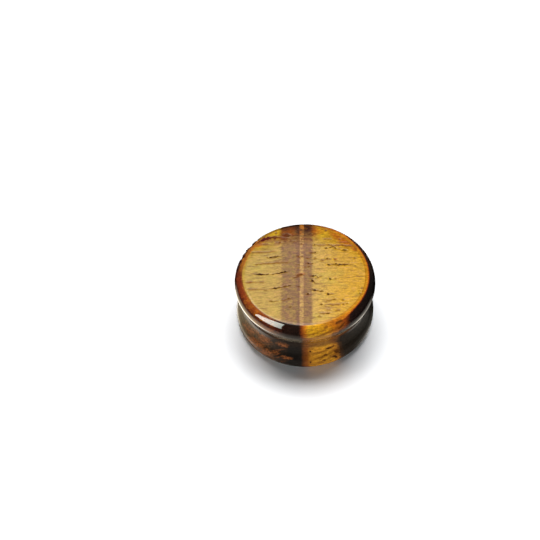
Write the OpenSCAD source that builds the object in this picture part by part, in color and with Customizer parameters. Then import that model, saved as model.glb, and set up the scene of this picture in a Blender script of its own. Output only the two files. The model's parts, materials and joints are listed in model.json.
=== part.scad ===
// Double flared ear plug, cut and polished from one piece of banded stone.
// It is a spool turned about Z: a flat round face at each end, a rounded lip
// around each face, and a shallow saddle between the lips in which the lobe sits.
// The plug lies on its lower face, with the origin at that face's centre.

/* [Gauge] */
// Diameter at the bottom of the saddle, which is the size of the lobe it fits
gauge_d = 22; // [12:0.5:38]
// Overall length from one flat face to the other
plug_length = 11.8; // [9:0.1:16]

/* [Flares] */
// How far each flare stands out from the saddle, measured on the radius
flare_step = 1.2; // [0.8:0.05:2]
// Width of the rounded lip, from the flare's widest line in to the flat face
lip_width = 1.3; // [0.8:0.05:1.8]
// Height of the rounded lip, from the flat face down to the flare's widest line
lip_height = 2; // [1.8:0.05:2.6]

/* [Smoothness] */
// Number of sides that a full circle is drawn with
circle_sides = 180; // [60:12:360]

/* [Hidden] */

gauge_r = gauge_d / 2;
flare_r = gauge_r + flare_step;
face_r = flare_r - lip_width;

// The lip is an arc that is upright at the widest line and ends at the face
lip_arc_r = (pow(lip_width, 2) + pow(lip_height, 2)) / (2 * lip_width);
lip_centre_r = flare_r - lip_arc_r;
lip_low_z = lip_height;
lip_high_z = plug_length - lip_height;

// The saddle is an arc that runs smoothly out of the lower lip into the upper one
lip_spacing = lip_high_z - lip_low_z;
saddle_arc_r = flare_step / 2 - lip_arc_r + pow(lip_spacing, 2) / (8 * flare_step);
saddle_centre_r = gauge_r + saddle_arc_r;
saddle_z = plug_length / 2;

// Where the lip's arc and the saddle's arc meet, as a share of the line between
// their centres
meet_share = lip_arc_r / (lip_arc_r + saddle_arc_r);
meet_r = lip_centre_r + (saddle_centre_r - lip_centre_r) * meet_share;
meet_low_z = lip_low_z + (saddle_z - lip_low_z) * meet_share;
meet_high_z = plug_length - meet_low_z;

// One rounded lip in section, cut off level with the flat face beside it
module lip_section(centre_z) {
    intersection() {
        translate([lip_centre_r, centre_z])
            circle(r = lip_arc_r, $fn = circle_sides);
        square([flare_r, plug_length]);
    }
}

// The body inside the lips in section, up to the chord under the saddle
module core_section() {
    polygon([
        [0, 0],
        [face_r, 0],
        [lip_centre_r, lip_low_z],
        [meet_r, meet_low_z],
        [meet_r, meet_high_z],
        [lip_centre_r, lip_high_z],
        [face_r, plug_length],
        [0, plug_length]
    ]);
}

// Half of the plug's section, to the right of its axis
module plug_section() {
    difference() {
        union() {
            core_section();
            lip_section(lip_low_z);
            lip_section(lip_high_z);
        }
        translate([saddle_centre_r, saddle_z])
            circle(r = saddle_arc_r, $fn = circle_sides);
    }
}

// The whole plug, turned from its section
module stone_plug() {
    color([0.66, 0.45, 0.16])
        rotate_extrude($fn = circle_sides)
            plug_section();
}

stone_plug();
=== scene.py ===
import math
import json
from collections import namedtuple

import bpy
import numpy as np
from mathutils import Matrix, Vector

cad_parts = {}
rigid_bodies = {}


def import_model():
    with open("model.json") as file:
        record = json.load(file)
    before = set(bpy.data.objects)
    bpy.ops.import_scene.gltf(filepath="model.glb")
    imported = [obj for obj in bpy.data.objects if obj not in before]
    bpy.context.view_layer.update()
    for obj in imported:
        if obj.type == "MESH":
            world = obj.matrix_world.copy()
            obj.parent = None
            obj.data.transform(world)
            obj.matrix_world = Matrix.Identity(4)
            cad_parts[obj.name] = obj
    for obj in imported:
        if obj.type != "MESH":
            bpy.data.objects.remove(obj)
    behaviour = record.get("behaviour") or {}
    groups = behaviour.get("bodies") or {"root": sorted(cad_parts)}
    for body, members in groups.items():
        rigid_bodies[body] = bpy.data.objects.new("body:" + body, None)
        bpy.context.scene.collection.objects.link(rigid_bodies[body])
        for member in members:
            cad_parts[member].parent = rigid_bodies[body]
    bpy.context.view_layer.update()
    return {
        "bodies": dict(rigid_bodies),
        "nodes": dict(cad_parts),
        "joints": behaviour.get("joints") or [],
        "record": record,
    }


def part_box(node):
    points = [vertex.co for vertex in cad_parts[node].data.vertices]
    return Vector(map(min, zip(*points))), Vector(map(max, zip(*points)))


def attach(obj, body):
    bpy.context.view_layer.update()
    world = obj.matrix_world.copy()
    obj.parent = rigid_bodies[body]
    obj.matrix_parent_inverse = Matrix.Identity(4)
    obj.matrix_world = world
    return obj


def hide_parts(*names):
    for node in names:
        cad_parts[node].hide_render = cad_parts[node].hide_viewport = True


MM = 0.001  # millimetres to metres

# Sizes of the plug that the frame doesn't give, in millimetres
LIP_WIDTH = 1.3
FACE_FLAT_MARGIN = 0.6  # ring at the rim of each face that polishing has rounded down
FACE_ROLL_OFF = 0.022  # how far that ring falls at the rim
RIM_ROUND = 0.05  # worn radius of the edge between face and lip
RIM_TURN = 0.035  # where the lip starts below that edge, in radians of its arc
CRACK_DEPTH = 0.06

# Fineness of the lathed mesh
FACE_ROWS = 320
UPPER_COLUMNS = 88
LOWER_COLUMNS = 28
FACE_RINGS = 6  # rings of quads on the rounded ring of a face
UPPER_LIP_RINGS = 20
LOWER_LIP_RINGS = 18
UPPER_SADDLE_RINGS = 14
LOWER_SADDLE_RINGS = 26

# Where the pieces of the surface lie in the texture: shares of its width
DISC_SPREAD = 0.46  # the width that a disc takes
DISC_REACH = 22.4  # millimetres across that width
UPPER_DISC = (0.24, 0.76)
LOWER_DISC = (0.74, 0.76)
STRIP_HEIGHT = 0.25
STRIP_MARGIN = 0.01
FRONT_STRIP = 0.265
BACK_STRIP = 0.005

# Camera, matched to the photograph
VIEW_ELEVATION = math.radians(52.5)
VIEW_DISTANCE = 208.2  # from the middle of the upper lip, in millimetres
FRAME_PIXELS = 540
FOCAL_PIXELS = 1201
PLUG_PIXEL = (305.0, 281.05)  # where the middle of the upper lip falls in the photograph
SENSOR_MM = 36.0

# The set, in metres
TABLE_RADIUS = 0.7
MIRRORED_RADIUS = 0.06
BACKDROP_RADIUS = 1.2
LIGHT_DISTANCE = 1.6

STONE_IOR = 1.54
NOISE_RANGE = (0.34, 0.66)  # a noise seldom goes beyond these


def curve_noise(positions, seed, wavelength):
    """Smooth one-dimensional noise from -1 to 1, the same on each run."""
    random = np.random.RandomState(seed)
    knots = random.uniform(-1, 1, 512)
    place = np.asarray(positions) / wavelength + 200
    low = np.floor(place).astype(int)
    share = place - low
    share = share * share * (3 - 2 * share)
    return knots[low % 512] * (1 - share) + knots[(low + 1) % 512] * share


def smooth_step(low, high, value):
    share = np.clip((np.asarray(value) - low) / (high - low), 0, 1)
    return share * share * (3 - 2 * share)


# The plug's section


class Section:
    """Half of the plug's section in millimetres, from the record and the frame."""

    def __init__(self, frame):
        low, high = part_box("stone_plug")
        saddle = next(m for m in frame["record"]["mounts"] if m["name"] == "lobe_saddle")
        self.length = (high[2] - low[2]) / MM
        self.flare = (high[0] - low[0]) / MM / 2
        self.gauge = saddle["dims"]["r_mm"]
        self.lip_height = (self.length - saddle["dims"]["length_mm"]) / 2
        self.face = self.flare - LIP_WIDTH
        self.lip_arc = (LIP_WIDTH**2 + self.lip_height**2) / (2 * LIP_WIDTH)
        self.lip_centre = self.flare - self.lip_arc
        self.lip_z = self.length - self.lip_height
        step = self.flare - self.gauge
        spacing = saddle["dims"]["length_mm"]
        self.saddle_arc = step / 2 - self.lip_arc + spacing**2 / (8 * step)
        self.saddle_centre = self.gauge + self.saddle_arc
        self.middle = self.length / 2
        self.flat = self.face - FACE_FLAT_MARGIN

    def upper_half(self, lip_rings, saddle_rings):
        """Stations from the flat of the upper face out and down to the middle."""
        stations = []
        rim_start = math.atan2(self.lip_height, self.lip_arc - LIP_WIDTH)
        lean = math.atan2(self.lip_z - self.middle, self.saddle_centre - self.lip_centre)
        for share in np.linspace(0, 1, FACE_RINGS + 1):
            radius = self.flat + (self.face - RIM_ROUND - self.flat) * share
            stations.append((radius, self.length - FACE_ROLL_OFF * share**2))
        for angle in np.linspace(rim_start - RIM_TURN, -lean, lip_rings):
            radius = self.lip_centre + self.lip_arc * math.cos(angle)
            stations.append((radius, self.lip_z + self.lip_arc * math.sin(angle)))
        for angle in np.linspace(lean, 0, saddle_rings + 1)[1:]:
            radius = self.saddle_centre - self.saddle_arc * math.cos(angle)
            stations.append((radius, self.middle + self.saddle_arc * math.sin(angle)))
        return stations

    def stations(self):
        upper = self.upper_half(UPPER_LIP_RINGS, UPPER_SADDLE_RINGS)
        lower = self.upper_half(LOWER_LIP_RINGS, LOWER_SADDLE_RINGS)
        return upper + [(radius, self.length - z) for radius, z in reversed(lower[:-1])]


# Marks in the stone


# The fields of the rows in the lists below
Mark = namedtuple("Mark", "x y length width slope dark red")
Patch = namedtuple("Patch", "x y length height slope strength")

# Natural fissures and specks of the upper face, rows of Mark in millimetres from its centre
FACE_MARKS = [
    (-8.7, 7.15, 1.6, 0.6, 0.3, 1.0, 1.0),
    (-8.0, 7.45, 1.6, 0.6, 0.3, 1.0, 1.0),
    (-7.2, 7.75, 1.5, 0.6, 0.25, 1.0, 1.0),
    (-6.4, 7.98, 1.4, 0.5, 0.2, 1.0, 1.0),
    (-5.4, 8.14, 2.2, 0.42, 0.03, 0.85, 1.0),
    (-4.1, 8.05, 2.8, 0.45, -0.05, 0.4, 1.0),
    (-5.1, 9.2, 0.5, 0.35, 0.2, 0.6, 0.8),
    (-7.6, 4.8, 3.8, 0.2, 0.02, 0.25, 1.0),
    (-5.8, 2.4, 6.5, 0.2, 0.07, 0.2, 1.0),
    (-8.6, -1.8, 4.0, 0.16, 0.0, 0.15, 0.6),
    (-8.0, -3.3, 4.0, 0.18, 0.0, 0.15, 0.6),
    (4.8, 6.4, 6.0, 0.18, -0.02, 0.2, 0.9),
    (7.0, 7.05, 3.0, 0.16, 0.0, 0.1, 0.9),
    (4.4, -5.45, 3.2, 0.18, 0.08, 0.15, 0.6),
    (5.2, -6.35, 4.5, 0.18, 0.08, 0.15, 0.6),
    (3.2, -8.2, 3.2, 0.2, 0.0, 0.15, 0.6),
    (3.4, -7.35, 3.4, 0.16, 0.05, 0.1, 0.5),
    (-3.21, 8.66, 1.5, 0.55, 0.0, 0.7, 0.9),
    (-6.91, 6.61, 1.2, 0.28, -0.05, 0.4, 0.8),
    (-7.11, 6.36, 0.6, 0.22, 0.0, 0.3, 0.7),
    (-4.41, 6.96, 0.6, 0.28, 0.1, 0.6, 0.8),
    (-5.01, 7.01, 0.5, 0.2, 0.0, 0.4, 0.5),
    (-1.91, 7.26, 0.5, 0.25, 0.0, 0.4, 0.3),
    (-9.11, 4.76, 0.6, 0.2, 0.0, 0.45, 0.6),
    (-7.81, 4.79, 2.4, 0.25, 0.0, 0.35, 1.0),
    (-5.91, 4.91, 1.8, 0.2, 0.05, 0.2, 0.9),
    (-6.56, 3.66, 0.4, 0.26, 0.0, 0.75, 0.3),
    (-5.96, 3.69, 0.5, 0.34, 0.0, 1.0, 0.4),
    (-5.31, 3.76, 1.1, 0.26, 0.1, 0.75, 0.6),
    (-4.66, 3.88, 0.8, 0.22, 0.1, 0.7, 0.4),
    (-8.41, 2.11, 0.6, 0.27, 0.0, 0.35, 0.9),
    (-7.66, 2.11, 0.5, 0.2, 0.0, 0.4, 0.6),
    (-6.41, 2.36, 1.5, 0.27, 0.08, 0.25, 1.0),
    (-4.91, 2.56, 1.8, 0.23, 0.05, 0.2, 1.0),
    (-3.41, 2.61, 1.3, 0.23, 0.0, 0.2, 1.0),
    (-7.7, -0.1, 2.1, 0.2, 0.02, 1.0, 0.8),
    (-6.51, -0.09, 0.6, 0.26, 0.0, 0.9, 0.5),
    (-5.51, -0.04, 0.5, 0.22, 0.0, 0.8, 0.3),
    (-4.71, 0.14, 1.0, 0.2, 0.05, 0.95, 0.6),
    (-4.06, 0.26, 0.9, 0.23, 0.25, 1.0, 0.6),
    (-3.41, 0.51, 0.6, 0.34, 0.25, 1.0, 0.5),
    (-9.51, -1.79, 1.4, 0.25, 0.0, 0.3, 1.0),
    (-7.41, -1.84, 1.2, 0.22, 0.0, 0.2, 0.8),
    (-8.91, -3.29, 2.2, 0.27, 0.02, 0.25, 0.9),
    (-6.71, -3.49, 0.8, 0.23, 0.0, 0.25, 0.6),
    (-5.01, -3.07, 0.8, 0.34, 0.05, 1.0, 0.5),
    (-5.71, -3.14, 0.8, 0.18, 0.0, 0.45, 0.5),
    (-4.31, -2.89, 1.1, 0.22, 0.25, 0.65, 0.6),
    (-3.41, -2.64, 1.1, 0.22, 0.22, 0.65, 0.7),
    (-2.71, -2.49, 0.5, 0.22, 0.4, 0.55, 0.5),
    (-5.71, -5.86, 0.9, 0.22, 0.0, 0.55, 0.5),
    (-4.91, -5.8, 1.1, 0.18, 0.1, 0.5, 0.5),
    (-3.51, -5.49, 1.4, 0.23, 0.2, 0.35, 0.8),
    (-2.76, -5.19, 0.5, 0.3, 0.6, 0.5, 0.5),
    (-2.46, -6.94, 0.6, 0.25, 0.0, 0.5, 0.3),
    (-1.01, -0.16, 1.1, 0.4, 0.1, 0.5, 1.0),
    (-0.66, -0.09, 0.6, 0.3, 0.2, 0.75, 1.0),
    (-1.26, -0.52, 0.8, 0.27, 0.35, 0.35, 1.0),
    (-1.81, -0.72, 0.5, 0.2, 0.1, 0.5, 0.5),
    (-1.21, 2.11, 0.35, 0.3, 0.0, 0.4, 0.4),
    (-1.21, 1.46, 0.35, 0.3, 0.0, 0.4, 0.4),
    (-1.11, 4.06, 0.4, 0.37, 0.0, 0.35, 0.7),
    (-1.01, -2.64, 0.35, 0.35, 0.0, 0.4, 0.4),
    (-0.66, 6.71, 0.5, 0.26, 0.0, 0.45, 0.9),
    (-0.66, 3.81, 0.5, 0.28, 0.1, 0.6, 0.6),
    (1.64, 6.46, 0.4, 0.3, 0.0, 0.55, 0.5),
    (2.79, 6.36, 1.6, 0.21, 0.0, 0.25, 0.8),
    (4.19, 6.46, 0.5, 0.26, 0.0, 0.55, 0.3),
    (4.94, 6.16, 0.7, 0.3, -0.2, 0.6, 0.5),
    (5.29, 5.66, 0.6, 0.28, -0.2, 0.6, 0.5),
    (3.74, 5.74, 0.6, 0.28, 0.1, 0.85, 0.3),
    (4.39, 5.91, 0.6, 0.22, 0.2, 0.6, 0.3),
    (5.84, 6.36, 0.5, 0.26, 0.0, 0.65, 0.5),
    (6.69, 6.36, 0.7, 0.26, 0.0, 0.55, 0.6),
    (7.49, 6.26, 1.9, 0.27, -0.05, 0.3, 1.0),
    (5.99, 5.56, 0.7, 0.27, 0.0, 0.3, 0.6),
    (6.84, 5.26, 1.0, 0.3, 0.03, 0.7, 0.5),
    (8.84, 5.46, 0.7, 0.49, 0.0, 0.1, 1.0),
    (6.09, 7.71, 0.5, 0.22, 0.0, 0.55, 0.6),
    (3.89, 7.76, 1.8, 0.22, 0.0, 0.25, 0.9),
    (3.69, 9.71, 0.5, 0.26, 0.0, 0.55, 0.9),
    (1.29, 4.76, 1.0, 0.26, -0.05, 0.45, 0.8),
    (1.84, 4.74, 0.45, 0.28, 0.0, 0.8, 0.5),
    (3.84, 3.46, 0.45, 0.22, 0.0, 0.65, 0.4),
    (2.99, 2.96, 0.9, 0.27, 0.1, 0.3, 0.8),
    (5.19, 3.26, 0.5, 0.27, 0.0, 0.3, 1.0),
    (8.69, 3.46, 0.5, 0.29, 0.0, 0.35, 0.7),
    (0.54, 3.46, 0.5, 0.33, 0.0, 0.35, 0.8),
    (1.74, 3.46, 0.6, 0.26, 0.0, 0.45, 0.5),
    (0.64, 2.36, 0.45, 0.28, 0.0, 0.95, 0.4),
    (1.34, 2.31, 0.45, 0.24, 0.0, 0.75, 0.3),
    (0.64, 1.71, 0.35, 0.28, 0.0, 0.7, 0.6),
    (0.04, 1.56, 0.35, 0.26, 0.0, 0.45, 0.8),
    (4.14, 2.04, 0.7, 0.32, -0.1, 0.95, 0.4),
    (5.09, 2.06, 2.2, 0.16, 0.0, 0.45, 0.5),
    (5.39, 2.21, 0.5, 0.32, 0.3, 0.8, 0.4),
    (5.94, 2.06, 0.6, 0.36, 0.0, 1.0, 0.5),
    (6.79, 2.06, 1.5, 0.22, 0.0, 0.8, 0.6),
    (7.89, 2.08, 1.3, 0.14, 0.0, 0.45, 0.6),
    (1.39, -0.44, 0.5, 0.3, 0.0, 0.95, 0.4),
    (1.79, -0.34, 0.4, 0.24, 0.3, 0.8, 0.4),
    (2.14, -0.64, 0.5, 0.26, -0.6, 0.7, 0.4),
    (2.69, -0.49, 0.6, 0.2, 0.2, 0.4, 0.4),
    (1.29, -1.39, 0.45, 0.36, -0.3, 1.0, 0.4),
    (1.64, -1.79, 0.5, 0.28, -0.6, 0.6, 0.4),
    (1.59, -3.44, 0.6, 0.46, 0.0, 1.0, 0.6),
    (2.09, -3.49, 0.7, 0.22, -0.1, 0.55, 0.7),
    (2.74, -3.69, 0.8, 0.26, -0.15, 0.75, 0.5),
    (4.34, -1.09, 0.6, 0.28, 0.1, 0.85, 0.4),
    (5.19, -1.04, 0.5, 0.26, 0.0, 0.45, 0.6),
    (3.94, -4.34, 0.6, 0.34, 0.05, 0.9, 0.7),
    (4.44, -4.29, 0.6, 0.22, 0.0, 0.45, 0.6),
    (0.51, -4.29, 0.4, 0.38, -0.5, 0.85, 0.5),
    (9.34, -3.54, 0.6, 0.22, 0.0, 0.6, 0.3),
    (9.34, -4.14, 0.5, 0.22, -0.1, 0.6, 0.3),
    (4.94, -5.44, 0.6, 0.22, 0.1, 0.7, 0.5),
    (4.09, -5.64, 1.3, 0.23, 0.15, 0.35, 0.8),
    (6.44, -5.54, 0.6, 0.24, 0.0, 0.55, 0.7),
    (2.74, -6.44, 0.5, 0.32, 0.1, 0.8, 0.6),
    (5.49, -6.54, 1.2, 0.27, 0.1, 0.3, 1.0),
    (6.49, -6.44, 0.5, 0.26, 0.0, 0.7, 0.6),
    (7.09, -6.24, 0.6, 0.2, 0.2, 0.4, 0.5),
    (3.39, -6.89, 0.6, 0.16, 0.0, 0.4, 0.4),
    (4.69, -6.74, 0.7, 0.23, 0.1, 0.35, 0.8),
    (5.59, -7.74, 1.1, 0.27, 0.2, 0.3, 0.9),
    (3.89, -7.59, 1.1, 0.25, 0.0, 0.25, 0.8),
    (3.89, -8.29, 0.7, 0.36, 0.0, 0.85, 0.7),
    (2.59, -8.24, 0.6, 0.26, 0.0, 0.4, 0.7),
    (3.09, -8.29, 1.2, 0.27, 0.0, 0.35, 0.9),
    (2.49, -9.04, 0.9, 0.26, 0.0, 0.4, 0.5),
]

# Marks of the front of the side, x across and y up from the table, in millimetres
SIDE_MARKS = [
    (0.9, 4.55, 0.45, 0.3, 0.0, 1.0, 0.6),
    (0.95, 2.6, 0.45, 0.36, 0.0, 1.0, 0.7),
    (0.25, 4.6, 0.7, 0.7, 0.0, 0.0, 0.8),
    (0.3, 2.5, 0.7, 0.8, 0.0, 0.0, 0.8),
    (0.1, 3.4, 0.6, 0.5, 0.0, 0.0, 0.6),
    (4.0, 4.5, 1.0, 0.3, -0.1, 1.0, 0.7),
    (4.7, 4.52, 0.8, 0.24, 0.1, 0.9, 0.7),
    (3.6, 4.4, 0.5, 0.16, 0.1, 0.4, 0.6),
    (2.6, 4.12, 0.5, 0.18, 0.0, 0.4, 0.5),
    (3.1, 3.32, 0.7, 0.22, 0.1, 0.9, 0.7),
    (3.6, 3.42, 0.8, 0.28, 0.1, 1.0, 0.7),
    (2.6, 3.2, 1.6, 0.16, 0.1, 0.15, 0.5),
    (4.4, 3.55, 1.4, 0.16, 0.1, 0.3, 0.9),
    (1.7, 3.05, 1.4, 0.16, 0.12, 0.2, 0.7),
    (5.4, 3.5, 1.1, 0.4, -0.3, 0.7, 1.0),
    (3.35, 2.58, 0.7, 0.24, -0.1, 1.0, 0.6),
    (2.8, 2.35, 1.2, 0.16, 0.15, 0.2, 0.5),
    (4.3, 2.8, 1.2, 0.2, 0.1, 0.4, 0.8),
    (5.0, 2.8, 0.9, 0.28, -0.2, 0.9, 0.9),
    (5.4, 2.5, 0.8, 0.3, -1.0, 1.0, 0.9),
    (4.5, 2.1, 0.8, 0.2, 0.15, 0.3, 0.7),
    (2.3, 1.85, 1.6, 0.16, 0.12, 0.3, 0.7),
    (2.0, 3.9, 2.0, 0.14, 0.12, 0.2, 0.6),
    (2.2, 4.75, 1.8, 0.14, 0.1, 0.2, 0.5),
    (1.3, 5.1, 0.6, 0.24, 0.0, 0.3, 0.6),
    (1.4, 10.75, 0.6, 0.2, 0.2, 0.4, 0.9),
    (3.5, 11.38, 0.8, 0.2, -0.1, 0.4, 0.9),
    (5.7, 11.45, 1.3, 0.2, -0.1, 0.8, 0.9),
    (6.1, 10.8, 1.4, 0.3, 0.3, 0.8, 0.9),
    (3.2, 10.4, 5.6, 0.2, 0.2, 0.3, 1.0),
    (5.3, 10.75, 1.2, 0.3, 0.0, 0.1, 0.9),
    (2.2, 10.95, 1.2, 0.16, 0.3, 0.3, 0.7),
    (3.0, 11.1, 1.6, 0.14, 0.25, 0.2, 0.7),
    (1.0, 11.3, 1.2, 0.14, 0.2, 0.2, 0.6),
    (3.0, 3.3, 4.4, 0.15, 0.12, 0.3, 1.0),
    (3.2, 2.52, 4.0, 0.15, 0.12, 0.3, 1.0),
    (2.6, 4.15, 4.0, 0.15, 0.1, 0.2, 0.9),
    (2.0, 2.1, 3.0, 0.15, 0.08, 0.1, 0.8),
    (4.6, 3.8, 1.6, 0.3, 0.1, 0.1, 0.9),
]

# Rust-coloured patches of the front of the side, rows of Patch in the same millimetres
RUST_PATCHES = [
    (-3.8, 5.5, 2.6, 1.6, 0.1, 1.0),
    (-7.2, 4.7, 2.8, 1.9, 0.4, 1.1),
    (-9.6, 4.0, 2.6, 1.2, 0.5, 0.9),
    (-8.6, 3.0, 3.2, 1.9, 0.3, 0.9),
    (-6.8, 2.6, 2.0, 1.4, 0.4, 1.1),
    (-3.4, 3.05, 2.6, 0.6, 0.08, 1.0),
    (-5.1, 3.4, 1.8, 0.6, 0.1, 0.6),
    (-8.6, 4.9, 2.0, 0.8, 0.6, 0.9),
    (-7.8, 1.9, 2.4, 0.8, 0.2, 0.6),
]

# Russet patches of the upper face, in millimetres from its centre
FACE_PATCHES = [
    (7.0, 7.4, 4.0, 1.7, -0.4, 1.0),
    (5.5, 8.9, 2.4, 2.2, -0.3, 1.0),
    (8.2, 6.4, 2.2, 1.4, -0.7, 0.9),
    (8.8, 5.45, 1.3, 0.8, 0.0, 1.3),
    (6.6, 6.4, 2.4, 0.5, 0.0, 0.6),
    (2.3, 9.6, 2.6, 1.7, 0.0, 0.6),
    (-8.1, 6.6, 2.4, 1.4, 0.4, 1.0),
    (-2.4, 9.4, 1.8, 1.6, 0.0, 0.4),
    (-0.6, 0.0, 1.6, 0.7, 0.15, 0.7),
    (5.3, 3.3, 0.9, 0.5, 0.0, 0.7),
    (-9.4, -1.75, 1.0, 0.5, 0.0, 0.7),
]

# Worn spots of the upper lip: turn from +X in degrees, half width in degrees, depth in millimetres
Chip = namedtuple("Chip", "turn spread depth")
CHIPS = [
    Chip(158.0, 3.6, 0.34),
    Chip(151.5, 2.2, 0.14),
    Chip(144.0, 4.5, 0.2),
    Chip(136.5, 2.0, 0.12),
]


def mark_fields(across, along, marks):
    """Three shares from 0 to 1: how near a fissure's middle, how dark it is, and how stained."""
    crack = np.zeros_like(across)
    dark = np.zeros_like(across)
    stain = np.zeros_like(across)
    for seed, mark in enumerate(map(Mark._make, marks)):
        offset = across - mark.x
        ragged = 0.05 * curve_noise(across, 11 + seed, 0.35)
        ragged = ragged + 0.03 * curve_noise(across, 71 + seed, 0.12)
        distance = np.abs(along - mark.y - mark.slope * offset - ragged)
        share = np.clip(1 - np.abs(offset) / (mark.length / 2), 0, 1)
        taper = np.sqrt(share) * (0.8 + 0.4 * curve_noise(across, 131 + seed, 0.3))
        half = mark.width * 0.7 * np.clip(taper, 0.02, 1.2)
        inside = np.clip(1 - distance / (2 * half), 0, 1) * (share > 0) * (mark.dark > 0)
        dark = np.where(inside > crack, mark.dark, dark)
        crack = np.maximum(crack, inside)
        halo = np.clip(1.1 - distance / (mark.width * 1.6), 0, 1) * smooth_step(0, 0.6, share)
        stain = np.maximum(stain, halo * mark.red)
    return crack, dark, stain


def patch_field(across, along, patches):
    """How near the middle of an oval patch each place lies, from 0 to the patch's strength."""
    field = np.zeros_like(across)
    for patch in map(Patch._make, patches):
        aside = (across - patch.x) / (patch.length / 2)
        above = (along - patch.y - patch.slope * (across - patch.x)) / (patch.height / 2)
        field = np.maximum(field, np.clip(1.3 - np.hypot(aside, above), 0, 1) * patch.strength)
    return field


# The lathed mesh


def face_row_points(section, z, columns):
    """Rows of points across a flat disc: every row is a chord along the stone's fibres."""
    points = []
    for row in range(1, FACE_ROWS):
        turn = math.pi * (row / FACE_ROWS - 0.5)
        for column in range(columns + 1):
            share = 2 * column / columns - 1
            points.append((section.flat * math.cos(turn) * share, section.flat * math.sin(turn), z))
    return points


def face_quads(first, columns, front_pole, back_pole, up):
    """Quads between the rows, with fans at the two ends, facing up or down."""
    wide = columns + 1
    quads = []
    for row in range(FACE_ROWS - 2):
        for column in range(columns):
            start = first + row * wide + column
            quads.append((start, start + 1, start + wide + 1, start + wide))
    last = first + (FACE_ROWS - 2) * wide
    for column in range(columns):
        quads.append((front_pole, first + column + 1, first + column))
        quads.append((last + column, last + column + 1, back_pole))
    return quads if up else [tuple(reversed(quad)) for quad in quads]


def face_rim(first, columns, front_pole, back_pole):
    """The points of a face's edge, from the front pole round by +X."""
    wide = columns + 1
    right = [first + row * wide + columns for row in range(FACE_ROWS - 1)]
    left = [first + row * wide for row in range(FACE_ROWS - 1)]
    return [front_pole] + right + [back_pole] + left[::-1]


def disc_place(point, middle):
    """Where a point of a face lies in the texture."""
    scale = DISC_SPREAD / DISC_REACH
    return (middle[0] + point[0] * scale, middle[1] + point[1] * scale)


def strip_place(step, share):
    """Where a corner of the side lies in the texture, by its step round and its way down."""
    quarter = FACE_ROWS // 2
    if quarter <= step[0] < 3 * quarter:
        around, bottom = step[1] - quarter, BACK_STRIP
    else:
        around = step[1] + quarter if step[0] < quarter else step[1] - 3 * quarter
        bottom = FRONT_STRIP
    width = 1 - 2 * STRIP_MARGIN
    return (STRIP_MARGIN + width * around / FACE_ROWS, bottom + STRIP_HEIGHT * (1 - share))


def lathe(section):
    """Points and faces of the whole plug in millimetres, and each corner's place in the texture."""
    stations = section.stations()
    points = []
    faces = []
    places = []
    rims = []
    discs = ((section.length, UPPER_COLUMNS, UPPER_DISC), (0.0, LOWER_COLUMNS, LOWER_DISC))
    for z, columns, middle in discs:
        first = len(points)
        points += face_row_points(section, z, columns)
        front_pole = len(points)
        points.append((0.0, -section.flat, z))
        points.append((0.0, section.flat, z))
        quads = face_quads(first, columns, front_pole, front_pole + 1, z > 0)
        faces += quads
        places += [disc_place(points[corner], middle) for quad in quads for corner in quad]
        rims.append(face_rim(first, columns, front_pole, front_pole + 1))
    segments = 2 * FACE_ROWS
    rings = [rims[0]]
    for radius, z in stations[1:-1]:
        rings.append(list(range(len(points), len(points) + segments)))
        for step in range(segments):
            turn = 2 * math.pi * step / segments - math.pi / 2
            points.append((radius * math.cos(turn), radius * math.sin(turn), z))
    rings.append(rims[1])
    last = len(stations) - 1 - FACE_RINGS
    side = stations[FACE_RINGS : last + 1]
    lengths = [math.dist(*pair) for pair in zip(side, side[1:])]
    shares = np.concatenate([[0], np.cumsum(lengths)]) / sum(lengths)
    for index, (upper, lower) in enumerate(zip(rings, rings[1:])):
        for step in range(segments):
            after = (step + 1) % segments
            quad = (upper[step], lower[step], lower[after], upper[after])
            faces.append(quad)
            if index < FACE_RINGS:
                places += [disc_place(points[corner], UPPER_DISC) for corner in quad]
            elif index >= last:
                places += [disc_place(points[corner], LOWER_DISC) for corner in quad]
            else:
                high, low = shares[index - FACE_RINGS], shares[index - FACE_RINGS + 1]
                corners = ((step, high), (step, low), (step + 1, low), (step + 1, high))
                places += [strip_place((step, around), share) for around, share in corners]
    return np.array(points), faces, places


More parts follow.
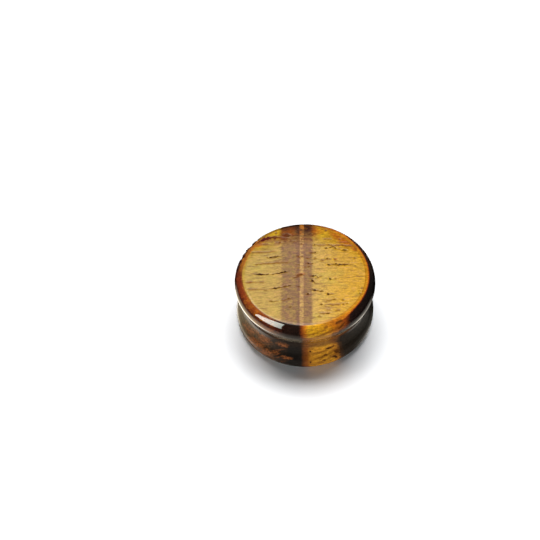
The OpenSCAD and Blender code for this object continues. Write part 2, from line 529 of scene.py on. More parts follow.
def stone_mesh(section):
    points, faces, places = lathe(section)
    x, y, z = points.T.copy()
    radius = np.hypot(x, y)
    on_top = (radius < section.face) & (z > section.middle)
    on_base = (radius < section.face) & (z < section.middle)
    on_side = ~on_top & ~on_base
    front = on_side & (y < 0)
    marks = np.zeros((3, len(points)))
    marks[:, on_top] = mark_fields(x[on_top], y[on_top], FACE_MARKS)
    marks[:, on_base] = mark_fields(-x[on_base], y[on_base], FACE_MARKS)
    marks[:, front] = mark_fields(x[front], z[front], SIDE_MARKS)
    crack, dark, stain = marks
    rust = np.zeros(len(points))
    rust[front] = patch_field(x[front], z[front], RUST_PATCHES)
    rust[on_top] = patch_field(x[on_top], y[on_top], FACE_PATCHES)

    depth = CRACK_DEPTH * smooth_step(0.3, 0.9, crack) * dark
    points[on_top, 2] -= depth[on_top]
    points[on_base, 2] += depth[on_base]
    turn = np.degrees(np.arctan2(y, x))
    on_upper_lip = smooth_step(section.lip_z - 0.4, section.lip_z + 0.5, z)
    for chip in CHIPS:
        ragged = chip.spread * (1 + 0.3 * curve_noise(turn, int(chip.turn), 1.3))
        dip = smooth_step(1, 0.3, np.abs(turn - chip.turn) / ragged)
        depth = depth + chip.depth * dip * on_upper_lip
    inward = 1 - depth / radius.clip(1)
    points[on_side, :2] *= inward[on_side, None]

    mesh = bpy.data.meshes.new("stone_plug_polished")
    mesh.from_pydata((points * MM).tolist(), [], faces)
    mesh.polygons.foreach_set("use_smooth", [True] * len(mesh.polygons))
    for name, values in (("crack", crack), ("dark", dark), ("stain", stain), ("rust", rust)):
        layer = mesh.attributes.new(name, "FLOAT", "POINT")
        layer.data.foreach_set("value", values)
    layer = mesh.uv_layers.new(name="OFBake")
    layer.data.foreach_set("uv", np.array(places).ravel())
    mesh.update()
    return mesh


# Node helpers


class Field:
    """A number at each place of a surface, for formulas with +, - and *."""

    def __init__(self, nodes, socket):
        self.nodes = nodes
        self.socket = socket

    def __add__(self, other):
        return self.nodes.math("ADD", self, other)

    def __mul__(self, other):
        return self.nodes.math("MULTIPLY", self, other)

    def __sub__(self, other):
        return self.nodes.math("SUBTRACT", self, other)

    def __rsub__(self, other):
        return self.nodes.math("SUBTRACT", other, self)

    __radd__ = __add__
    __rmul__ = __mul__

    def step(self, low, high, out_low=0.0, out_high=1.0):
        """A smooth change from out_low to out_high as the number goes from low to high."""
        node = self.nodes.new("ShaderNodeMapRange", interpolation_type="SMOOTHSTEP")
        names = ("Value", "From Min", "From Max", "To Min", "To Max")
        for name, value in zip(names, (self, low, high, out_low, out_high)):
            self.nodes.put(node.inputs[name], value)
        return Field(self.nodes, node.outputs["Result"])

    def swing(self, amount):
        """A noise centred on zero, up to about half the amount either way."""
        return (self - 0.5) * amount


class Nodes:
    """Short calls for the few kinds of shader node that the materials use."""

    def __init__(self, tree):
        self.tree = tree
        tree.nodes.clear()

    def new(self, kind, **settings):
        node = self.tree.nodes.new(kind)
        for name, value in settings.items():
            setattr(node, name, value)
        return node

    def put(self, socket, value):
        source = value.socket if isinstance(value, Field) else value
        if isinstance(source, bpy.types.NodeSocket):
            self.tree.links.new(source, socket)
        else:
            socket.default_value = source

    def math(self, operation, *values):
        node = self.new("ShaderNodeMath", operation=operation)
        for socket, value in zip(node.inputs, values):
            self.put(socket, value)
        return Field(self, node.outputs[0])

    def length(self, x, y):
        return self.math("SQRT", x * x + y * y)

    def scaled(self, vector, factors):
        node = self.new("ShaderNodeVectorMath", operation="MULTIPLY")
        self.put(node.inputs[0], vector)
        node.inputs[1].default_value = factors
        return node.outputs[0]

    def combine(self, x, y, z):
        node = self.new("ShaderNodeCombineXYZ")
        for socket, value in zip(node.inputs, (x, y, z)):
            self.put(socket, value)
        return node.outputs[0]

    def split(self, vector):
        node = self.new("ShaderNodeSeparateXYZ")
        self.put(node.inputs[0], vector)
        return [Field(self, output) for output in node.outputs]

    def places(self):
        """Places on the object in millimetres."""
        return self.scaled(self.new("ShaderNodeTexCoord").outputs["Object"], grey(1 / MM))

    def noise(self, vector, factors, detail=2.0, roughness=0.5, distortion=0.0):
        node = self.new("ShaderNodeTexNoise")
        self.put(node.inputs["Vector"], self.scaled(vector, factors))
        node.inputs["Scale"].default_value = 1.0
        node.inputs["Detail"].default_value = detail
        node.inputs["Roughness"].default_value = roughness
        node.inputs["Distortion"].default_value = distortion
        return Field(self, node.outputs["Fac"])

    def ramp(self, value, stops):
        """Colours along a value in millimetres: stops are (place, colour) pairs."""
        low, high = stops[0][0], stops[-1][0]
        node = self.new("ShaderNodeValToRGB")
        self.put(node.inputs[0], self.math("DIVIDE", value - low, high - low))
        elements = node.color_ramp.elements
        while len(elements) < len(stops):
            elements.new(0.5)
        for element, (place, colour) in zip(elements, stops):
            element.position = (place - low) / (high - low)
            element.color = (*colour, 1)
        return node.outputs["Color"]

    def mix(self, share, first, second, blend="MIX"):
        node = self.new("ShaderNodeMix", data_type="RGBA", blend_type=blend)
        self.put(node.inputs["Factor"], share)
        colours = [s for s in node.inputs if s.type == "RGBA"]
        for socket, value in zip(colours, (first, second)):
            self.put(socket, value)
        return next(s for s in node.outputs if s.type == "RGBA")

    def attribute(self, name):
        return Field(self, self.new("ShaderNodeAttribute", attribute_name=name).outputs["Fac"])

    def shade(self, kind, inputs, output_kind="ShaderNodeOutputMaterial"):
        """The shader that the whole tree leads to, with its inputs by name."""
        shader = self.new(kind)
        for name, value in inputs.items():
            self.put(shader.inputs[name], value)
        output = self.new(output_kind)
        self.put(output.inputs["Surface"], shader.outputs[0])


def grey(amount):
    return (amount, amount, amount)


def warm(amount):
    return (amount, amount * 0.92, amount * 0.8)


def new_material(name):
    material = bpy.data.materials.new(name)
    material.use_nodes = True
    return material, Nodes(material.node_tree)


# How bright the table looks in the polish, by the turn from the front in degrees
TABLE_GLOW = [
    (-180, grey(0.0)),
    (-113, grey(0.0)),
    (-104, (0.4, 0.36, 0.27)),
    (-83, (0.66, 0.59, 0.4)),
    (-63, (0.66, 0.59, 0.4)),
    (-42, warm(0.42)),
    (-21, warm(0.17)),
    (0, warm(0.1)),
    (49, warm(0.13)),
    (70, warm(0.26)),
    (88, warm(0.27)),
    (100, grey(0.0)),
    (180, grey(0.0)),
]
PALE_GLOW = (0.64, 0.62, 0.58, 1)  # close to the plug's left side
TABLE_GLOW_STRENGTH = 4.0


# The stone


# Colours of the bands along X, in millimetres from the middle: of the face, its far edge, the
# lip, the waist and the back of the side
FACE_COLOURS = [
    (-12.2, (0.40, 0.25, 0.045)),
    (-8.0, (0.387, 0.248, 0.042)),
    (-5.0, (0.385, 0.24, 0.043)),
    (-4.3, (0.365, 0.22, 0.042)),
    (-3.75, (0.25, 0.135, 0.032)),
    (-3.0, (0.235, 0.122, 0.03)),
    (-2.3, (0.26, 0.145, 0.032)),
    (-1.7, (0.24, 0.125, 0.03)),
    (-1.3, (0.18, 0.08, 0.028)),
    (-0.98, (0.155, 0.068, 0.025)),
    (-0.84, (0.44, 0.25, 0.066)),
    (-0.32, (0.44, 0.25, 0.064)),
    (-0.14, (0.21, 0.1, 0.03)),
    (0.3, (0.225, 0.11, 0.03)),
    (1.0, (0.23, 0.115, 0.03)),
    (1.4, (0.4, 0.24, 0.045)),
    (2.2, (0.455, 0.272, 0.043)),
    (4.0, (0.475, 0.272, 0.03)),
    (6.0, (0.489, 0.262, 0.016)),
    (12.2, (0.506, 0.26, 0.009)),
]
DEEP_COLOURS = [
    (-12.2, (0.3, 0.11, 0.012)),
    (-9.6, (0.36, 0.15, 0.012)),
    (-7.6, (0.5, 0.31, 0.017)),
    (-4.8, (0.46, 0.27, 0.016)),
    (-4.1, (0.15, 0.045, 0.01)),
    (-2.2, (0.13, 0.03, 0.006)),
    (-1.6, (0.06, 0.018, 0.006)),
    (-1.1, (0.03, 0.012, 0.006)),
    (-0.9, (0.3, 0.1, 0.016)),
    (-0.3, (0.3, 0.1, 0.016)),
    (-0.15, (0.03, 0.01, 0.006)),
    (0.8, (0.04, 0.012, 0.006)),
    (1.7, (0.24, 0.065, 0.01)),
    (2.6, (0.47, 0.28, 0.015)),
    (4.2, (0.41, 0.21, 0.011)),
    (7.0, (0.31, 0.1, 0.007)),
    (12.2, (0.3, 0.08, 0.006)),
]
LIP_COLOURS = [
    (-12.2, (0.14, 0.02, 0.007)),
    (-11.0, (0.17, 0.026, 0.008)),
    (-9.5, (0.25, 0.052, 0.01)),
    (-6.6, (0.24, 0.05, 0.009)),
    (-5.0, (0.06, 0.012, 0.005)),
    (-3.6, (0.016, 0.006, 0.004)),
    (-1.1, (0.012, 0.006, 0.004)),
    (-0.8, (0.06, 0.014, 0.005)),
    (-0.45, (0.24, 0.05, 0.007)),
    (0.0, (0.46, 0.14, 0.01)),
    (0.65, (0.66, 0.34, 0.014)),
    (3.6, (0.62, 0.275, 0.011)),
    (5.0, (0.46, 0.14, 0.006)),
    (6.6, (0.23, 0.047, 0.006)),
    (7.6, (0.012, 0.005, 0.004)),
    (12.2, (0.005, 0.004, 0.003)),
]
WAIST_COLOURS = [
    (-12.2, (0.165, 0.118, 0.06)),
    (-11.3, (0.13, 0.088, 0.044)),
    (-9.6, (0.12, 0.06, 0.024)),
    (-7.0, (0.1, 0.046, 0.018)),
    (-5.0, (0.038, 0.021, 0.012)),
    (-3.8, (0.022, 0.014, 0.009)),
    (-2.8, (0.012, 0.01, 0.008)),
    (-0.65, (0.013, 0.01, 0.008)),
    (-0.2, (0.12, 0.035, 0.009)),
    (0.35, (0.22, 0.06, 0.01)),
    (0.9, (0.45, 0.18, 0.016)),
    (1.8, (0.62, 0.275, 0.02)),
    (4.5, (0.63, 0.28, 0.02)),
    (5.35, (0.42, 0.16, 0.015)),
    (6.0, (0.07, 0.03, 0.012)),
    (6.6, (0.022, 0.015, 0.01)),
    (12.2, (0.015, 0.014, 0.011)),
]
BACK_COLOURS = [
    (-12.2, (0.05, 0.014, 0.007)),
    (-9.0, (0.08, 0.022, 0.008)),
    (-7.6, (0.27, 0.14, 0.013)),
    (-4.8, (0.28, 0.15, 0.013)),
    (-4.1, (0.06, 0.018, 0.006)),
    (-1.0, (0.02, 0.009, 0.005)),
    (-0.85, (0.28, 0.1, 0.014)),
    (-0.35, (0.28, 0.1, 0.014)),
    (-0.15, (0.02, 0.008, 0.005)),
    (1.0, (0.03, 0.01, 0.005)),
    (2.0, (0.32, 0.13, 0.012)),
    (6.5, (0.34, 0.12, 0.01)),
    (8.0, (0.05, 0.018, 0.006)),
    (12.2, (0.008, 0.006, 0.005)),
]
PINK = (0.43, 0.215, 0.062, 1)
OLIVE = (0.36, 0.28, 0.035, 1)
PLUM = (0.16, 0.06, 0.033, 1)
MAUVE = (0.22, 0.1, 0.045, 1)
UMBER = (0.2, 0.08, 0.022, 1)
MOSS = (0.27, 0.165, 0.03, 1)
VIOLET = (0.052, 0.019, 0.013, 1)
AMBER = (0.5, 0.16, 0.01, 1)
EMBER = (0.2, 0.03, 0.006, 1)
MAROON = (0.05, 0.009, 0.005, 1)
COPPER = (0.38, 0.12, 0.012, 1)
RUSSET = (0.38, 0.1, 0.008, 1)
OCHRE = (0.4, 0.175, 0.01, 1)
RUST = (0.27, 0.085, 0.024, 1)
DARK_MOTTLE_AND_SHADE = (0.02, 0.012, 0.008, 1)
PALE_STREAK_AND_HAZE = (0.13, 0.105, 0.072, 1)
CRACK_COLOUR = (0.045, 0.016, 0.005, 1)
WINE = (0.075, 0.01, 0.008, 1)
STAIN_COLOUR = (0.2, 0.06, 0.011, 1)


class Grain:
    """The places and noises that the stone's colours share: bands across X, fibres along X."""

    def __init__(self, nodes):
        self.place = nodes.places()
        self.x, self.y, self.z = nodes.split(self.place)
        self.radius = nodes.length(self.x, self.y)

        # Fibres run along X and bend where they cross the dark band
        across = self.y - self.x.step(-6.2, -1.4, 0.0, 0.9)
        height = self.z - self.x * 0.18
        fibres = nodes.combine(self.x, across, height)
        self.fine = nodes.noise(fibres, (0.9, 5.0, 5.0), 3, 0.6)
        self.streak = nodes.noise(fibres, (0.16, 1.5, 1.5), 3, 0.55)
        self.thread = nodes.noise(fibres, (0.15, 2.8, 2.8), 4, 0.6)
        self.cloud = nodes.noise(fibres, (0.22, 0.5, 0.5), 2, 0.5)
        self.fleck = nodes.noise(fibres, (1.1, 5.0, 5.0), 2, 0.6)
        self.patch = nodes.noise(fibres, (0.5, 1.3, 1.3), 4, 0.65, 0.5)
        self.speck = nodes.noise(self.place, (3.2, 4.2, 4.2), 2, 0.6)
        self.mottle = nodes.noise(self.place, (1.2, 1.5, 1.5), 4, 0.65)

        # The bands' edges waver and fray, least beside the light stripe
        waver = nodes.noise(self.place, (0.15, 0.7, 0.7), 3, 0.6).swing(0.5)
        fray = nodes.noise(fibres, (0.5, 3.4, 3.4), 3, 0.6).swing(0.9)
        left = self.x.step(-2.2, -1.3, 1.0, 0.25)
        loose = left + self.x.step(1.6, 3.0, 0.0, 0.6)
        self.band_x = self.x + (waver + fray) * loose
        self.band = self.band_x.step(-4.3, -3.8) * self.band_x.step(1.5, 1.1)
        self.gold = 1.0 - self.band


def face_colour(nodes, grain, section):
    """Golden fibrous bands with a mottled dark band and a light stripe."""
    colour = nodes.ramp(grain.band_x, FACE_COLOURS)
    pink = grain.thread.step(0.52, 0.66) * grain.gold * 0.5
    colour = nodes.mix(pink, colour, PINK)
    olive = grain.cloud.step(0.52, 0.7) * grain.gold * 0.35
    colour = nodes.mix(olive, colour, OLIVE)
    umber = grain.thread.step(0.46, 0.32) * 0.6
    colour = nodes.mix(umber, colour, UMBER)
    blush = grain.y.step(2.0, 7.5, 0.5, 0.9)
    colour = nodes.mix(grain.mottle.step(0.49, 0.57) * grain.band * blush, colour, PLUM)
    moss = grain.mottle.step(0.47, 0.38) * grain.y.step(2.0, 6.0, 0.5, 0.1)
    colour = nodes.mix(moss * grain.band, colour, MOSS)
    mauve = grain.y.step(4.0, 7.0) * grain.band * 0.4
    colour = nodes.mix(mauve, colour, MAUVE)
    fleck = grain.fleck.step(0.64, 0.74) * grain.gold * 0.22
    colour = nodes.mix(fleck, colour, STAIN_COLOUR)

    # Toward the far edge the colours deepen, along a bowed and ragged line
    bow = grain.x * grain.x * 0.036
    ragged = grain.mottle.swing(3.4) + grain.streak.swing(1.4)
    deep_y = grain.y + bow + ragged
    deep = nodes.ramp(grain.band_x, DEEP_COLOURS)
    violet = grain.patch.step(0.46, 0.56) * grain.band
    violet = violet * grain.x.step(-2.0, -0.6, 0.4, 0.8)
    deep = nodes.mix(violet, deep, VIOLET)
    ember = grain.patch.step(0.44, 0.36) * grain.band.step(0.0, 1.0, 0.6, 0.25)
    deep = nodes.mix(ember, deep, AMBER)
    full = 9.7 + grain.band * 0.6
    colour = nodes.mix(deep_y.step(7.2, full), colour, deep)
    chart = nodes.attribute("rust")
    spread = chart + grain.patch.swing(0.7) + grain.mottle.swing(0.7)
    russet = spread.step(0.0, 1.0) * chart.step(0.0, 0.3) * 0.85
    colour = nodes.mix(russet, colour, RUSSET)

    # Mauve mottles lie before the long fissure at the back left
    mottled = grain.mottle.step(0.43, 0.53, 0.15, 0.75) * grain.x.step(-4.0, -4.8)
    mottled = mottled * grain.y.step(6.0, 6.7) * grain.y.step(7.9, 7.5)
    colour = nodes.mix(mottled, colour, MAUVE)

    # The rim is stained to the right and at the far left
    ring = grain.radius.step(section.face - 0.6, section.face - 0.42)
    right = grain.x.step(0.5, 4.0) * ring
    colour = nodes.mix(right * 0.85, colour, OCHRE)
    line = right * grain.radius.step(section.face - 0.34, section.face - 0.42)
    colour = nodes.mix(line * 0.35, colour, EMBER)
    left = grain.x.step(-6.0, -8.5) * grain.y.step(0.0, 3.0)
    left = left * grain.y.step(8.2, 6.8)
    ragged = grain.radius + grain.mottle.swing(0.5)
    stained = ragged.step(section.face - 0.45, section.face - 0.2)
    return nodes.mix(stained * left * 0.9, colour, COPPER)


def lip_colour(nodes, grain):
    """Copper to the left, black in the dark bands and gold in front."""
    colour = nodes.ramp(grain.band_x + grain.streak.swing(0.6), LIP_COLOURS)
    left = grain.x.step(-4.0, -6.5) * grain.x.step(-11.9, -10.0, 0.3, 1.0)
    return nodes.mix(grain.patch.step(0.48, 0.6) * left * 0.6, colour, COPPER)


def lip_edges(nodes, grain, section, colour):
    """The lip is painted darker outward on the left, as shade, and has an amber edge on the right."""
    upper = grain.z.step(section.middle, section.lip_z)
    left = grain.x.step(-4.0, -6.5) * upper
    back = left * grain.y.step(-0.5, 2.5)
    ragged = grain.radius + grain.mottle.swing(1.2)
    gilt = ragged.step(section.face + 0.6, section.face + 0.25)
    gilt = gilt * grain.y.step(8.4, 7.0, 0.1, 1.0)
    colour = nodes.mix(gilt * back * 0.9, colour, COPPER)
    # Painted shade: the outer part of the left lip darkens to maroon
    ragged = grain.z + grain.patch.swing(0.8)
    outer_shade = ragged.step(section.lip_z + 1.6, section.lip_z + 1.0)
    colour = nodes.mix(outer_shade * left * 0.9, colour, MAROON)
    inner = left * grain.radius.step(section.face + 0.2, section.face + 0.04)
    colour = nodes.mix(inner * 0.6, colour, UMBER)
    low = grain.z.step(10.6, 10.1) * grain.z.step(8.9, 9.8) * left
    low = low * grain.x.step(-10.8, -9.3) * grain.mottle.step(0.3, 0.6, 0.1, 0.5)
    colour = nodes.mix(low, colour, COPPER)
    right = grain.x.step(2.0, 6.5) * upper
    wide = grain.x.step(5.5, 8.8, section.face + 0.6, section.face + 0.1)
    ember = (grain.radius - wide).step(0.2, 0.0)
    colour = nodes.mix(ember * right * 0.85, colour, EMBER)
    amber = (grain.radius - wide).step(0.04, -0.1)
    return nodes.mix(amber * right * 0.9, colour, AMBER)


def waist_colour(nodes, grain):
    """Dark brown with rust-coloured patches, then black, gold and black again."""
    inward = grain.z.step(4.4, 6.0, 0.0, 1.1) + grain.z.step(2.0, 3.6, -0.3, 0.0)
    hook = grain.x.step(3.0, 4.8) * inward
    colour = nodes.ramp(grain.band_x + hook, WAIST_COLOURS)
    brown = grain.x.step(-11.6, -9.5) * grain.x.step(-2.4, -4.6)
    colour = nodes.mix(grain.mottle.step(0.48, 0.58) * brown * 0.8, colour, DARK_MOTTLE_AND_SHADE)
    slant = nodes.combine(grain.x, grain.y, grain.z - grain.x * 0.55)
    streaks = nodes.noise(slant, (0.45, 0.45, 2.2), 4, 0.65, 0.3)
    spread = nodes.attribute("rust") + streaks.swing(2.0) + grain.speck.swing(0.6)
    rust = spread.step(0.1, 1.0) * nodes.attribute("rust").step(0.0, 0.25)
    rust = rust * grain.speck.step(0.38, 0.56, 0.25, 1.0)
    rust = nodes.math("MAXIMUM", rust, streaks.step(0.52, 0.68) * brown * 0.6)
    colour = nodes.mix(rust, colour, RUST)
    pale = streaks.step(0.42, 0.3) * brown * 0.2
    colour = nodes.mix(pale, colour, PALE_STREAK_AND_HAZE)
    # Painted shade under the lip: the waist below it is darkened toward near-black, most just under
    # the lip and more on the left
    under_lip_shade = grain.z.step(5.0, 5.9) * grain.z.step(8.0, 6.9, 0.5, 1.0)
    left = grain.x.step(-3.5, -6.0) * grain.z.step(5.9, 6.5) * 0.3
    return nodes.mix(under_lip_shade * (left + 0.6), colour, DARK_MOTTLE_AND_SHADE)


def side_colour(nodes, grain, section):
    """Lip and waist differ in front, and the back has bands of its own."""
    lip = lip_colour(nodes, grain)
    waist = waist_colour(nodes, grain)
    edge = grain.z + grain.patch.swing(0.8)
    colour = nodes.mix(edge.step(section.lip_z, section.lip_z + 0.7), waist, lip)
    wide_x = grain.band_x + grain.streak.swing(1.1)
    colour = nodes.mix(grain.y.step(-1.5, 2.5), colour, nodes.ramp(wide_x, BACK_COLOURS))
    colour = lip_edges(nodes, grain, section, colour)
    golden = grain.x.step(-0.9, 0.4) * grain.x.step(6.2, 5.2)
    # Painted reflection: a pale grey haze in the band under the lip, off the gold and toward the front
    hollow = grain.z.step(6.9, 7.6) * grain.z.step(9.9, 8.8)
    painted_haze = hollow * (1.0 - golden) * grain.y.step(-2.0, -4.5) * 0.8
    colour = nodes.mix(painted_haze, colour, PALE_STREAK_AND_HAZE)
    # Painted shade under the lip on the gold
    shade = grain.z.step(5.0, 5.8) * grain.z.step(10.2, 9.2) * golden * 0.5
    colour = nodes.mix(shade, colour, UMBER)
    knots = grain.patch.step(0.43, 0.33) * golden * 0.2
    colour = nodes.mix(knots, colour, STAIN_COLOUR)
    threads = grain.thread.step(0.48, 0.36) * golden * 0.25
    colour = nodes.mix(threads, colour, UMBER)
    streaks = grain.streak.step(0.47, 0.37) * golden * 0.4
    colour = nodes.mix(streaks, colour, STAIN_COLOUR)
    fleck = grain.fleck.step(0.6, 0.68) * golden * 0.5
    return nodes.mix(fleck, colour, STAIN_COLOUR)


def stone_material(section):
    """Banded fibrous stone, polished to a mirror but for its satin waist."""
    material, nodes = new_material("polished_banded_stone")
    grain = Grain(nodes)
    on_face = grain.radius.step(section.face - 0.03, section.face - 0.17)
    colour = nodes.mix(on_face, side_colour(nodes, grain, section), face_colour(nodes, grain, section))

    # The gold of the face dims a little toward the back
    share = grain.x.step(-4.0, 1.0, 0.006, 0.012) * grain.gold * on_face
    dim = nodes.math("MINIMUM", grain.y, 5.0) * share

    # Light and dark along the fibres, least on the left of the face
    calm = grain.x.step(-4.2, -5.2, 0.2, 0.6) * on_face
    specks = grain.speck.step(*NOISE_RANGE, -0.17, 0.17) * (1.0 - calm)
    fibres = grain.fine.step(*NOISE_RANGE, 0.0, 0.32) + grain.thread.step(*NOISE_RANGE, 0.0, 0.2)
    tone = fibres + specks + (0.74 - dim)
    colour = nodes.mix(1.0, colour, nodes.combine(tone, tone, tone), "MULTIPLY")

    # Fissures and their stains
    stain = nodes.attribute("stain") * grain.fine.step(0.35, 0.65, 0.5, 1.0) * 0.85
    colour = nodes.mix(stain, colour, STAIN_COLOUR)
    dashes = nodes.noise(grain.place, (2.4, 5.0, 5.0), 2, 0.6).swing(1.0)
    pit = (nodes.attribute("crack") + dashes).step(0.2, 0.48)
    crack = pit * nodes.math("POWER", nodes.attribute("dark"), 1.2)
    wine = grain.x.step(-2.5, -4.0) * grain.y.step(5.5, 7.0)
    colour = nodes.mix(crack, colour, nodes.mix(wine, CRACK_COLOUR, WINE))

    # The polish is a clear coat, weaker on the satin waist, in pits and in a belt under the lip
    top = 7.4 + nodes.math("ABSOLUTE", grain.x).step(4.5, 7.0, 0.0, 0.8)
    satin = grain.z.step(top, top - 0.7) * grain.z.step(0.7, 1.6)
    satin = satin * grain.x.step(-11.9, -11.2, 0.6, 1.0) * 0.8
    smooth = 1.0 - pit * nodes.attribute("dark").step(0.1, 0.6) * 0.95
    ahead = grain.x.step(-7.5, -4.5) * grain.y.step(-8.5, -10.5)
    belt = grain.z.step(8.0, 8.4) * grain.z.step(9.1, 8.7) * ahead
    smooth = smooth * (1.0 - belt * 0.75)
    below = grain.z.step(section.lip_z, section.lip_z - 1.0) * 0.08
    bump = nodes.new("ShaderNodeBump")
    bump.inputs["Strength"].default_value = 0.12
    bump.inputs["Distance"].default_value = 0.03 * MM
    nodes.put(bump.inputs["Height"], grain.fine)
    inputs = {
        "Base Color": colour,
        "Roughness": grain.fine * 0.2 + 0.3,
        "IOR": STONE_IOR,
        "Specular IOR Level": 0.0,
        "Coat Weight": (1.0 - satin) * smooth,
        "Coat Roughness": grain.streak * 0.05 + below,
        "Coat IOR": STONE_IOR,
        "Normal": bump.outputs["Normal"],
    }
    nodes.shade("ShaderNodeBsdfPrincipled", inputs)
    return material


# The set: floor, lights and camera


def floor():
    """A glossy white table top under the plug, a disc with its top at zero."""
    bpy.ops.mesh.primitive_circle_add(vertices=96, radius=TABLE_RADIUS, fill_type="NGON")
    disc = bpy.context.object
    disc.name = "table"
    material, nodes = new_material("white_table")
    cloud = nodes.noise(nodes.places(), grey(0.04))
    white = nodes.ramp(cloud, [(0, (0.86, 0.87, 0.885)), (1, (0.88, 0.89, 0.905))])
    nodes.shade("ShaderNodeBsdfPrincipled", {"Base Color": white, "Roughness": 0.25, "IOR": 1.35})
    disc.data.materials.append(material)
    disc.visible_glossy = False


def only_mirrored(item):
    """Stage an item that nothing but reflections sees."""
    item.visible_camera = False
    item.visible_diffuse = False
    item.visible_shadow = False


def mirrored_table():
    """What the polish mirrors of the table: a glowing disc."""
    bpy.ops.mesh.primitive_circle_add(vertices=96, radius=MIRRORED_RADIUS, fill_type="NGON")
    disc = bpy.context.object
    disc.location.z = -0.01 * MM
    disc.name = "mirrored_table"
    material, nodes = new_material("mirrored_table")
    x, y, _ = nodes.split(nodes.places())
    radius = nodes.length(x, y)
    turn = nodes.math("DEGREES", nodes.math("ARCTAN2", x, y * -1.0))
    left = turn.step(-30, -60)
    right = turn.step(46, 62) * turn.step(85, 75)
    # Painted shadow of the plug in the mirrored table: the glow is dark close to the plug, brighter
    # just beyond it to the left and right, and fades far out
    start = 9.0 + left * 3.5
    full = 18.0 - (left * 3.5 + right * 2.0)
    gain = left * 1.5 + right * 3.2
    close = radius.step(14.8 + left * 3.0, 14.0) * gain
    near = radius.step(start, full) * (close + 1.0)
    far = radius.step(turn.step(40, 70, 60, 40), 14.0)
    pale = radius.step(17.8, 14.0) * left * 0.8
    colour = nodes.mix(pale, nodes.ramp(turn, TABLE_GLOW), PALE_GLOW)
    strength = near * far * TABLE_GLOW_STRENGTH
    nodes.shade("ShaderNodeEmission", {"Color": colour, "Strength": strength})
    disc.data.materials.append(material)
    only_mirrored(disc)


def backdrop():
    """A pale dome that only the camera sees."""
    bpy.ops.mesh.primitive_uv_sphere_add(segments=48, ring_count=24, radius=BACKDROP_RADIUS)
    dome = bpy.context.object
    dome.name = "backdrop"
    material, nodes = new_material("pale_backdrop")
    nodes.shade("ShaderNodeEmission", {"Color": (0.78, 0.79, 0.81, 1)})
    dome.data.materials.append(material)
    dome.visible_diffuse = False
    dome.visible_glossy = False
    dome.visible_shadow = False


def aim(centre, facing, up):
    """A placement in metres whose -Z looks along facing and whose Y is up."""
    back = -Vector(facing).normalized()
    side = Vector(up).cross(back).normalized()
    top = back.cross(side)
    return Matrix.Translation(centre) @ Matrix((side, top, back)).transposed().to_4x4()


def soft_light(name, centre, facing, width, height, radiance):
    """A wide panel that lights the scene evenly and is not mirrored in the polish."""
    data = bpy.data.lights.new(name, "AREA")
    data.shape = "RECTANGLE"
    data.size = width
    data.size_y = height
    data.energy = radiance * math.pi * width * height
    light = bpy.data.objects.new(name, data)
    bpy.context.collection.objects.link(light)
    light.matrix_world = aim(centre, facing, (0, 0, 1))
    light.visible_camera = False
    light.visible_glossy = False


# A glowing card that only reflections see. Each edge is (across, up, limit, soft): the glow
# fades out as across * x + up * y nears the limit. Each lift is (across, up, start, soft, gain):
# beyond its start the glow is that much stronger. A bow bends the lines that run across.
Card = namedtuple("Card", "name width height colour radiance edges lifts bow bow_x")
WINDOW = Card(
    name="window",
    width=1.3,
    height=1.9,
    colour=(0.87, 0.96, 0.87, 1),
    radiance=14.5,
    edges=[
        (-1, 0, 0.6, 0.06),
        (0, -1, 0.75, 0.04),
        (1, 0.105, 0.51, 0.04),
        (-1.6, 1, 0.97, 0.12),
        (0, 1, 0.93, 0.05),
        (1, 0, 1.3, 1.3),
    ],
    lifts=[],
    bow=0.0,
    bow_x=0.0,
)
WALL = Card(
    name="wall",
    width=1.56,
    height=0.78,
    colour=(1, 1, 1, 1),
    radiance=1.0,
    edges=[(-1, 0, 0.86, 0.2), (1, 0, 0.78, 0.3), (0, -1, 0.39, 0.012), (0, 1, 0.39, 0.2)],
    lifts=[(0, 1, -0.23, 0.04, 1.6), (1, 0, -0.55, 0.05, 1.6)],
    bow=3.5,
    bow_x=-0.67,
)


def place_card(card, centre, facing):
    bpy.ops.mesh.primitive_plane_add(size=1)
    sheet = bpy.context.object
    sheet.name = card.name
    sheet.data.transform(Matrix.Diagonal((card.width, card.height, 1, 1)))
    sheet.matrix_world = aim(centre, facing, (0, 0, 1))
    material, nodes = new_material(card.name)
    x, y, _ = nodes.split(nodes.new("ShaderNodeTexCoord").outputs["Object"])
    aside = x - card.bow_x
    y = y - aside * aside * card.bow
    glow = card.radiance
    for across, up, limit, soft in card.edges:
        reach = x * across + y * up
        glow = glow * reach.step(limit, limit - soft)
    lift = 1.0
    for across, up, start, soft, gain in card.lifts:
        reach = x * across + y * up
        lift = nodes.math("MAXIMUM", lift, reach.step(start, start + soft, 1.0, 1.0 + gain))
    nodes.shade("ShaderNodeEmission", {"Color": card.colour, "Strength": glow * lift})
    sheet.data.materials.append(material)
    only_mirrored(sheet)


def direction(azimuth, elevation):
    """A unit direction from the plug: azimuth in degrees from the back, positive to the right."""
    turn, rise = math.radians(azimuth), math.radians(elevation)
    return Vector((math.sin(turn) * math.cos(rise), math.cos(turn) * math.cos(rise), math.sin(rise)))


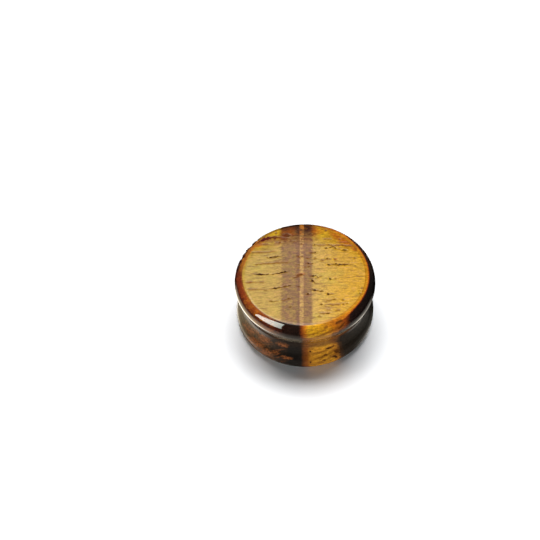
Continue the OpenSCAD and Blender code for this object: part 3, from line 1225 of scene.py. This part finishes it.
def lights():
    above = direction(-1, 68)
    soft_light("overhead_light", LIGHT_DISTANCE * above, -above, 1.4, 0.75, 12.2)
    front = direction(180, 13)
    soft_light("front_fill", LIGHT_DISTANCE * front, -front, 2.4, 0.3, 6.5)

    # The bright window that the bevel mirrors, and the pale wall that the face mirrors
    beside = Vector((-0.657, -0.410, 0.633))
    place_card(WINDOW, LIGHT_DISTANCE * beside, (0.265, 0.964, 0.022))
    high = direction(0, 62)
    upward = Vector((0, -high.z, high.y))
    moved = Vector((-0.67, 0, 0)) + upward * 0.065
    place_card(WALL, LIGHT_DISTANCE * high + moved, -high)

    world = bpy.data.worlds.new("studio")
    world.use_nodes = True
    nodes = Nodes(world.node_tree)
    nodes.shade("ShaderNodeBackground", {"Color": (0.03, 0.03, 0.03, 1)}, "ShaderNodeOutputWorld")
    bpy.context.scene.world = world


def camera(section):
    data = bpy.data.cameras.new("photo_camera")
    data.sensor_width = SENSOR_MM
    data.lens = SENSOR_MM * FOCAL_PIXELS / FRAME_PIXELS
    data.shift_x = (FRAME_PIXELS / 2 - PLUG_PIXEL[0]) / FRAME_PIXELS
    data.shift_y = (PLUG_PIXEL[1] - FRAME_PIXELS / 2) / FRAME_PIXELS
    data.clip_start = 0.01
    data.clip_end = 50
    item = bpy.data.objects.new("photo_camera", data)
    bpy.context.collection.objects.link(item)
    away = Vector((0, -math.cos(VIEW_ELEVATION), math.sin(VIEW_ELEVATION)))
    item.location = Vector((0, 0, section.lip_z * MM)) + away * VIEW_DISTANCE * MM
    item.rotation_euler = (math.pi / 2 - VIEW_ELEVATION, 0, 0)
    scene = bpy.context.scene
    scene.camera = item
    scene.view_settings.view_transform = "Standard"
    scene.view_settings.look = "None"


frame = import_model()
section = Section(frame)
camera(section)
floor()
mirrored_table()
backdrop()
lights()

plug = bpy.data.objects.new("stone_plug_polished", stone_mesh(section))
bpy.context.collection.objects.link(plug)
plug.data.materials.append(stone_material(section))
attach(plug, "root")
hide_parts("stone_plug")
